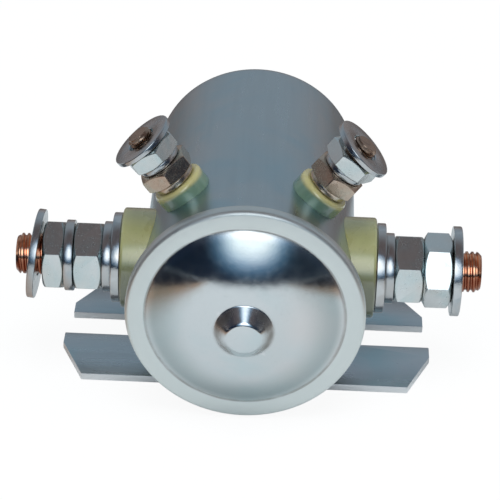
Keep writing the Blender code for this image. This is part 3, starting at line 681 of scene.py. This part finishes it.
def settle(piece, matrix, finish, body, nodes):
    piece.matrix_world = matrix
    pick(piece)
    bpy.ops.object.transform_apply(location=True, rotation=True, scale=True)
    piece.data.materials.clear()
    piece.data.materials.append(finishes[finish])
    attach(piece, body)
    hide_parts(*nodes)


alongY = Matrix.Translation((0, rimY, axisZ)) @ Matrix.Rotation(-math.pi / 2, 4, "X")


def terminalMatrix(place, degrees):
    return Matrix.Translation((0, rimY + place, axisZ)) @ Matrix.Rotation(math.radians(degrees), 4, "Y")


terminals = {
    "left_load": terminalMatrix(20.0 * mm, -90),
    "right_load": terminalMatrix(20.0 * mm, 90),
    "left_coil": terminalMatrix(18.0 * mm, -37.5),
    "right_coil": terminalMatrix(18.0 * mm, 37.5),
}


def spanOf(node, matrix):
    # The node's lowest and highest place along a terminal
    back = matrix.inverted()
    heights = [(back @ vert.co).z for vert in frame["nodes"][node].data.vertices]
    return min(heights), max(heights)


# Can and end cap

can = {
    "wall": 0.9, "corner": 3.0, "flange": 21.55, "flangeFront": 1.1, "flangeEdge": 0.1, "fillet": 0.3,
    "loadHole": 5.57, "coilHole": 3.71, "drill": 6.0, "drillSink": 0.5,
}


def makeCan():
    radius, length, wall, corner = canRadius / mm, canLength / mm, can["wall"], can["corner"]
    front, flange, edge, fillet = can["flangeFront"], can["flange"], can["flangeEdge"], can["fillet"]
    back = front + wall
    outer = [(0.0, length), (6.0, length), (12.0, length)]
    outer += roundOff((radius - corner, length - corner), corner, 90, 0, 10)
    outer += [(radius, z) for z in range(60, 3, -2)]
    outer += roundOff((radius + fillet, back + fillet), fillet, 180, 270, 4)
    outer += [(flange - edge, back), (flange, back - edge), (flange, front + edge), (flange - edge, front)]
    inner = roundOff((radius, back), wall, 270, 180, 5)
    inner += [(radius - wall, z) for z in range(4, 61, 7)]
    inner += roundOff((radius - corner, length - corner), corner - wall, 0, 90, 6) + [(0.0, length - wall)]
    piece = turnRound("canShell", [(r * mm, z * mm) for r, z in outer + inner], 144)
    piece.matrix_world = alongY
    deep, middle = can["drill"] * mm, (0, 0, canRadius - can["drillSink"] * mm)
    for name, matrix in terminals.items():
        hole = can["loadHole" if "load" in name else "coilHole"] * mm
        bpy.ops.object.select_all(action="DESELECT")
        bpy.ops.mesh.primitive_cylinder_add(vertices=48, radius=hole, depth=deep, location=middle)
        drill = bpy.context.object
        bpy.ops.object.transform_apply(location=True, rotation=False, scale=False)
        drill.matrix_world = matrix
        carve(piece, drill)
    smoothOver(piece, 32)
    settle(piece, alongY, "canPlating", "housing", ["can"])


cap = {
    "sheet": 0.8, "rim": 22.65, "corner": 1.0, "crown": 0.10, "domeEdge": 18.85, "dome": 5.4, "fillet": 0.5,
    "lipBack": 3.1, "lipCorner": 0.9, "lipWidth": 1.8, "nubFlat": 2.4, "nubHeight": 2.4, "nubRound": 1.5,
    "nubSlope": 45, "nubCrown": 0.25, "foot": 0.6,
}


def makeCap():
    edge, rim, foot, fillet = cap["domeEdge"], cap["rim"], cap["foot"], cap["fillet"]
    sphere = (edge**2 + cap["dome"] ** 2) / (2 * cap["dome"])

    def domeAt(radius):
        return sphere - cap["dome"] - math.sqrt(sphere**2 - radius**2)

    # The nub is a blunt cone, whose flank runs into the dome with a fillet that touches both
    tip = -(cap["dome"] + cap["nubHeight"])
    flat, bend = cap["nubFlat"], cap["nubRound"]
    crown = [(flat * i / 5, tip + cap["nubCrown"] * (i / 5) ** 2) for i in range(6)]
    nub = roundOff((flat, tip + cap["nubCrown"] + bend), bend, 278, 270 + cap["nubSlope"], 10)
    lean, middle = math.radians(cap["nubSlope"]), edge / 3
    for _ in range(12):
        height = sphere - cap["dome"] - math.sqrt((sphere + foot) ** 2 - middle**2)
        middle = nub[-1][0] + (height - nub[-1][1] + foot / math.cos(lean)) / math.tan(lean)
    domeTilt = math.degrees(math.asin(middle / (sphere + foot)))
    skirt = roundOff((middle, height), foot, 90 + cap["nubSlope"], 90 + domeTilt, 6)
    slope = math.asin(edge / sphere)  # the dome's slope where it meets the rim
    reach = fillet * math.tan(slope / 2)
    first, last = skirt[-1][0] + 0.15, edge - reach * math.cos(slope) - 0.02
    dome = [first + (last - first) * i / 24 for i in range(25)]
    line = crown + nub + skirt + [(r, domeAt(r)) for r in dome]
    bends = [slope * (8 - i) / 8 for i in range(9)]
    line += [(edge + reach - fillet * math.sin(a), fillet * (math.cos(a) - 1)) for a in bends]
    inner, outer, lip = edge + reach, rim - cap["corner"], cap["lipCorner"]
    swell = [(i / 6, math.sin(math.pi * i / 6)) for i in range(1, 6)]
    line += [(inner + (outer - inner) * share, -cap["crown"] * height) for share, height in swell]
    line += roundOff((outer, cap["corner"]), cap["corner"], 270, 360, 8)
    line += roundOff((rim - lip, cap["lipBack"] - lip), lip, 0, 90, 6)
    line += [(rim - cap["lipWidth"], cap["lipBack"])]
    piece = drawLine("capPressing", [(r * mm, 0, z * mm) for r, z in line], False)
    bpy.ops.mesh.spin(steps=160, angle=tau, center=(0, 0, 0), axis=(0, 0, 1))
    tidyFaces()
    applyModifier(piece, "SOLIDIFY", thickness=cap["sheet"] * mm, offset=-1.0)
    smoothOver(piece, 40)
    settle(piece, alongY, "capPlating", "housing", ["end_cap"])


makeCan()
makeCap()
print("can and cap pressed")

# Mounting bracket

bracket = {
    "sheet": 1.5, "edge": 0.16, "front": 11.0, "back": 43.0, "frontReach": 36.6, "backReach": 35.6,
    "frontCut": (4.6, 11.0), "backCut": (3.8, 6.0), "slotWidth": 7.7, "slotPlace": 29.45, "slotEnd": 22.0,
    "saddle": 20.0, "seat": 0.3, "run": 4.8, "heel": 0.35, "cutterLow": -3.0, "cutterRise": 14.0,
}
spare = 2  # how far the sheet reaches past its outline before it is cut


def bracketPlan():
    place, half = bracket["slotPlace"], bracket["slotWidth"] / 2
    frontReach, backReach = bracket["frontReach"], bracket["backReach"]
    side = [
        (frontReach - bracket["frontCut"][0], bracket["front"]),
        (frontReach, bracket["front"] + bracket["frontCut"][1]),
        (frontReach, place - half),
        *roundOff((bracket["slotEnd"], place), half, 270, 90, 16),
        (backReach, place + half),
        (backReach, bracket["back"] - bracket["backCut"][1]),
        (backReach - bracket["backCut"][0], bracket["back"]),
    ]
    return side + [(-x, y) for x, y in side[::-1]]


def makeBracket():
    sheet, tilt, seat = bracket["sheet"], bracket["saddle"], canRadius / mm + bracket["seat"]
    top = sheet - axisZ / mm
    under = roundOff((0, 0), seat + sheet, 270 + tilt, 270 - tilt, 16)
    over = roundOff((0, 0), seat, 270 - tilt, 270 + tilt, 16)
    foot, reach = over[-1][0] + bracket["run"], bracket["frontReach"] + spare
    heel, low = foot - bracket["heel"], top - sheet
    section = [(-reach, top), (-foot, top), *over, (foot, top), (reach, top)]
    section += [(reach, low), (heel, low), *under, (-heel, low), (-reach, low)]
    start = rimY + (bracket["front"] - spare) * mm
    length = (bracket["back"] - bracket["front"] + 4 * spare) * mm
    piece = pullUp("bracketSheet", [(x * mm, start, axisZ + z * mm) for x, z in section], (0, length, 0))
    plan = [(x * mm, rimY + y * mm, bracket["cutterLow"] * mm) for x, y in bracketPlan()]
    carve(piece, pullUp("bracketPlan", plan, (0, 0, bracket["cutterRise"] * mm)), "INTERSECT")
    soften(piece, bracket["edge"] * mm, 38, 2)
    smoothOver(piece, 40)
    settle(piece, Matrix.Identity(4), "bracketPlating", "housing", ["mounting_bracket"])


makeBracket()
print("bracket blanked and pressed")

# Terminals

loadSet = {
    "stud": 3.97, "core": 3.3, "pitch": 1.058, "depth": 0.42, "chamfer": 0.7, "bush": 9.75, "bushEdge": 0.55,
    "neck": 5.27, "washer": 8.73, "washerBore": 4.37, "washerHeight": 1.4, "lock": 6.9, "nut": 12.7,
    "steps": 72,
}
coilSet = {
    "stud": 2.41, "core": 1.9, "pitch": 0.794, "depth": 0.40, "chamfer": 0.45, "bush": 5.2, "bushEdge": 0.9,
    "neck": 3.41, "washer": 6.35, "washerBore": 2.9, "washerHeight": 1.0, "lock": 4.2, "nut": 9.53,
    "steps": 56,
}
hardware = {
    "snug": 0.13 * mm,  # how far each washer and nut grows to meet its neighbour
    "play": 0.12 * mm,
    "nutFace": 0.475,  # of the width over flats, where the chamfer starts
    "nutSlope": 30,
    "nutSink": 0.5 * mm,
    "nutEdge": 0.14 * mm,
    "nutSpare": 0.2 * mm,  # how far the blank reaches past the corners
    "drillSpare": 0.1 * mm,
    "washerEdge": 0.22 * mm,
    "washerFoot": 0.08 * mm,
    "lockSweep": 349,
    "lockLift": 0.1 * mm,
    "lockEdge": 0.12 * mm,
    "lockTurn": 100,
    "looseGap": 0.3 * mm,
}


def makeNut(name, width, height, bore):
    face, corner = hardware["nutFace"] * width, width / 2 / math.cos(math.pi / 6)
    sink, middle = hardware["nutSink"], (0, 0, height / 2)
    bpy.ops.object.select_all(action="DESELECT")
    bpy.ops.mesh.primitive_cylinder_add(vertices=6, radius=corner, depth=height + mm, location=middle)
    piece = bpy.context.object
    piece.name = piece.data.name = name
    bpy.ops.object.transform_apply(location=True, rotation=False, scale=False)
    wide = corner + hardware["nutSpare"]
    drop = (wide - face) * math.tan(math.radians(hardware["nutSlope"]))
    blank = [(0, 0), (face, 0), (wide, drop), (wide, height - drop), (face, height), (0, height)]
    carve(piece, turnRound("nutBlank", blank, 96), "INTERSECT")
    low, high = -hardware["drillSpare"], height + hardware["drillSpare"]
    drill = [(0, low), (bore + sink, low), (bore, sink)]
    drill += [(bore, height - sink), (bore + sink, high), (0, high)]
    carve(piece, turnRound("nutDrill", drill, 64))
    soften(piece, hardware["nutEdge"], 22, 2)
    smoothOver(piece, 24)
    applyModifier(piece, "WEIGHTED_NORMAL", keep_sharp=True)
    return piece


def makeFlatWasher(name, bore, outer, height, steps):
    edge, foot = hardware["washerEdge"], hardware["washerFoot"]
    line = [(bore, foot), (bore + foot, 0), (outer - foot, 0), (outer, foot)]
    line += roundOff((outer - edge, height - edge), edge, 0, 90, 3)
    line += roundOff((bore + edge, height - edge), edge, 90, 180, 3)
    piece = turnRound(name, line, steps)
    smoothOver(piece, 38)
    return piece


def makeLockWasher(name, bore, outer, height, steps):
    lift = hardware["lockLift"]
    piece = drawLine(name, [(bore, 0, 0), (outer, 0, 0), (outer, 0, height), (bore, 0, height)], True)
    bpy.ops.object.mode_set(mode="OBJECT")
    applyModifier(
        piece, "SCREW", axis="Z", angle=math.radians(hardware["lockSweep"]), screw_offset=lift, iterations=1,
        steps=steps, render_steps=steps, use_merge_vertices=False,
    )
    bpy.ops.object.mode_set(mode="EDIT")
    bpy.ops.mesh.select_all(action="SELECT")
    bpy.ops.mesh.fill_holes(sides=4)
    tidyFaces()
    soften(piece, hardware["lockEdge"], 40, 2)
    smoothOver(piece, 38)
    return piece


def makeThread(name, radius, pitch, depth, low, high, chamfer, steps=40):
    # Rows of points that climb round the stud and are held between its two ends. Made by bmesh,
    # since the Boolean doesn't take the Screw modifier's thread
    tooth = [(0.0, 0.0), (0.08, 0.0), (0.34, 1.0), (0.66, 1.0), (0.92, 0.0), (1.0, 0.0)]

    def reachAt(height, turned):
        share = ((height - low) / pitch - turned) % 1.0
        for (s0, r0), (s1, r1) in zip(tooth, tooth[1:]):
            if share <= s1:
                grown = r0 + (r1 - r0) * (share - s0) / (s1 - s0)
                break
        reach = radius - depth + depth * grown
        return min(reach, radius - chamfer + max(0.0, high - height))

    thread = bmesh.new()
    columns = []
    for j in range(steps + 1):
        turned = j / steps
        column = []
        for m in range(-2, math.ceil((high - low) / pitch) + 2):
            for share, _ in tooth[:-1]:
                height = min(max(low + (m + share + turned) * pitch, low), high)
                reach = reachAt(height, turned)
                spot = (reach * math.cos(tau * turned), reach * math.sin(tau * turned), height)
                column.append(thread.verts.new(spot))
        columns.append(column)
    for here, there in zip(columns, columns[1:]):
        for k in range(len(here) - 1):
            thread.faces.new((here[k], there[k], there[k + 1], here[k + 1]))
    bmesh.ops.remove_doubles(thread, verts=thread.verts, dist=1e-6)
    bmesh.ops.dissolve_degenerate(thread, edges=thread.edges, dist=1e-7)
    bmesh.ops.holes_fill(thread, edges=thread.edges)
    bmesh.ops.recalc_face_normals(thread, faces=thread.faces)
    mesh = bpy.data.meshes.new(name)
    thread.to_mesh(mesh)
    thread.free()
    piece = bpy.data.objects.new(name, mesh)
    bpy.context.scene.collection.objects.link(piece)
    return piece


studHeads = {
    "square": 8.0, "tall": 5.8, "edge": 0.6, "round": 3.4, "thick": 1.5,
    "start": 1.5,  # of the thread, inside the can's wall
    "overlap": 0.5,
}


def makeStud(name, sizes, matrix, node, finish):
    head, end = spanOf(node, matrix)
    start = canRadius - studHeads["start"] * mm
    shankEnd = start + studHeads["overlap"] * mm
    radius, pitch, depth, chamfer, core = (
        sizes[key] * mm for key in ("stud", "pitch", "depth", "chamfer", "core")
    )
    piece = makeThread(name, radius, pitch, depth, start, end, chamfer)
    shank = [(0, head + mm), (core, head + mm), (core, shankEnd), (0, shankEnd)]
    carve(piece, turnRound("studShank", shank, 48), "UNION")
    if "load" in node:
        square, tall = studHeads["square"], studHeads["tall"]
        bpy.ops.object.select_all(action="DESELECT")
        bpy.ops.mesh.primitive_cube_add(size=square * mm, location=(0, 0, head + tall / 2 * mm))
        tool = bpy.context.object
        tool.scale.z = tall / square
        bpy.ops.object.transform_apply(location=True, rotation=False, scale=True)
        soften(tool, studHeads["edge"] * mm, 40, 3)
    else:
        wide, top = studHeads["round"] * mm, head + studHeads["thick"] * mm
        tool = turnRound("studHead", [(0, head), (wide, head), (wide, top), (0, top)], 48)
    carve(piece, tool, "UNION")
    smoothOver(piece, 30)
    settle(piece, matrix, finish, "housing", [node])


bushFit = {
    "play": 0.3,  # round the stud
    "depth": 0.9,  # of the neck in the can's wall
    "hover": 0.4,  # the foot's height before it is pressed down
    "lift": 0.02,
    "form": 40.0,
}


def makeBush(name, sizes, matrix, node):
    # A turned moulding whose foot is pressed down on the can, with its neck going in through the wall
    top = spanOf(node, matrix)[1]
    outer, neck, edge = sizes["bush"] * mm, sizes["neck"] * mm, sizes["bushEdge"] * mm
    bore, low = (sizes["stud"] + bushFit["play"]) * mm, canRadius - bushFit["depth"] * mm
    hover = canRadius + bushFit["hover"] * mm
    foot = [(neck + (outer - neck) * i / 5, hover) for i in range(6)]
    shoulder = roundOff((outer - edge, top - edge), edge, 0, 90, 8)
    piece = turnRound(name, [(bore, low), (neck, low), *foot, *shoulder, (bore, top)], 96)
    bpy.ops.object.select_all(action="DESELECT")
    bpy.ops.mesh.primitive_cylinder_add(
        vertices=240, radius=canRadius + bushFit["lift"] * mm, depth=bushFit["form"] * mm,
        rotation=(math.pi / 2, 0, 0),
    )
    form = bpy.context.object
    group = piece.vertex_groups.new(name="foot")
    group.add([v.index for v in piece.data.vertices if abs(v.co.z - hover) < 1e-6], 1.0, "REPLACE")
    applyModifier(
        piece, "SHRINKWRAP", target=form, vertex_group="foot", wrap_method="PROJECT", use_project_z=True,
        use_negative_direction=True, use_positive_direction=False,
    )
    bpy.data.objects.remove(form)
    piece.vertex_groups.clear()
    smoothOver(piece, 34)
    finish = "oliveMoulding" if "load" in node else "seaMoulding"
    settle(piece, matrix, finish, "housing", [node])


def camelName(node):
    first, *rest = node.split("_")
    return first + "".join(word.title() for word in rest)


def fitHardware(terminal, sizes, stack, turns):
    matrix, bore = terminals[terminal], sizes["stud"] * mm + hardware["play"]
    washerBore, washer, washerHeight, lock, nut = (
        sizes[key] * mm for key in ("washerBore", "washer", "washerHeight", "lock", "nut")
    )
    for suffix, kind in stack.items():
        node = f"{terminal}_{suffix}"
        name = camelName(node)
        low, high = spanOf(node, matrix)
        tall = high - low + 2 * hardware["snug"]
        turn = Matrix.Rotation(math.radians(turns.get(suffix, hardware["lockTurn"])), 4, "Z")
        place = Matrix.Translation((0, 0, low - hardware["snug"])) @ turn
        aged = "coil" in terminal and "inner" in suffix
        finish, slot = "agedPlating" if aged else "washerPlating", "washer_zinc"
        if kind == "nut":
            piece = makeNut(name, nut, tall, bore)
            finish, slot = "agedPlating" if aged else "nutPlating", "bright_zinc"
        elif kind == "lock":
            piece = makeLockWasher(name, bore, lock, tall - hardware["lockLift"], sizes["steps"])
        elif kind == "flat":
            piece = makeFlatWasher(name, washerBore, washer, tall, sizes["steps"])
        else:  # a loose washer, which leans on the nut under it
            tilt = math.radians(kind["tilt"])
            piece = makeFlatWasher(name, washerBore, washer, washerHeight, sizes["steps"])
            seat = spanOf(f"{terminal}_outer_nut", matrix)[1] + hardware["looseGap"]
            lean = Euler((0, tilt, math.radians(kind["turn"]))).to_matrix().to_4x4()
            place = Matrix.Translation((0, 0, seat + nut / 2 * math.sin(abs(tilt)))) @ lean
        settle(piece, matrix @ place, finish, "housing", [node])


load = {"inner_flat_washer": "flat", "inner_lock_washer": "lock", "inner_nut": "nut"}
coil = {"inner_lock_washer": "lock", "inner_nut": "nut", "outer_lock_washer": "lock", "outer_nut": "nut"}
stacks = {
    "left_load": {
        **load, "outer_lock_washer": "lock", "outer_nut": "nut", "outer_flat_washer": {"tilt": 6, "turn": 25},
    },
    "right_load": {**load, "outer_nut": "nut", "outer_flat_washer": "flat"},
    "left_coil": {**coil, "outer_flat_washer": {"tilt": -4, "turn": 0}},
    "right_coil": {**coil, "outer_flat_washer": {"tilt": 8, "turn": 0}},
}
nutTurns = {
    "left_load": {"inner_nut": 30, "outer_nut": 30},
    "right_load": {"inner_nut": 30, "outer_nut": 0},
    "left_coil": {"inner_nut": 8, "outer_nut": 24},
    "right_coil": {"inner_nut": -20, "outer_nut": -38},
}

for terminal, matrix in terminals.items():
    sizes = loadSet if "load" in terminal else coilSet
    studFinish, studSlot = ("loadCopper", "copper") if "load" in terminal else ("coilBrass", "stud_brass")
    makeBush(camelName(terminal + "_bush"), sizes, matrix, terminal + "_outer_insulator")
    makeStud(camelName(terminal + "_stud"), sizes, matrix, terminal + "_stud", studFinish)
    fitHardware(terminal, sizes, stacks[terminal], nutTurns[terminal])
    print(terminal.replace("_", " "), "terminal fitted")

# Solids inside the can, which stay as they are and get a finish

insideFinishes = {
    "softIron": ["plunger", "fixed_core", "flux_washer", "spring_seat"],
    "tubeBrass": ["guide_tube", "plunger_rod"],
    "springSteel": ["contact_spring", "return_spring"],
    "enamelWire": ["coil_winding", "left_coil_lead", "right_coil_lead"],
    "bobbinNylon": ["bobbin"],
    "wrapPaper": ["coil_wrap"],
    "redFibre": ["front_disc_insulator", "back_disc_insulator"],
    "sealRubber": ["cap_gasket"],
    "loadCopper": ["contact_disc"],
    "oliveMoulding": [f"{terminal}_inner_insulator" for terminal in terminals],
}
for finishName, nodeNames in insideFinishes.items():
    for nodeName in nodeNames:
        node = frame["nodes"][nodeName]
        node.data.materials.clear()
        node.data.materials.append(finishes[finishName])
print("inside pieces finished")

bpy.ops.object.select_all(action="DESELECT")
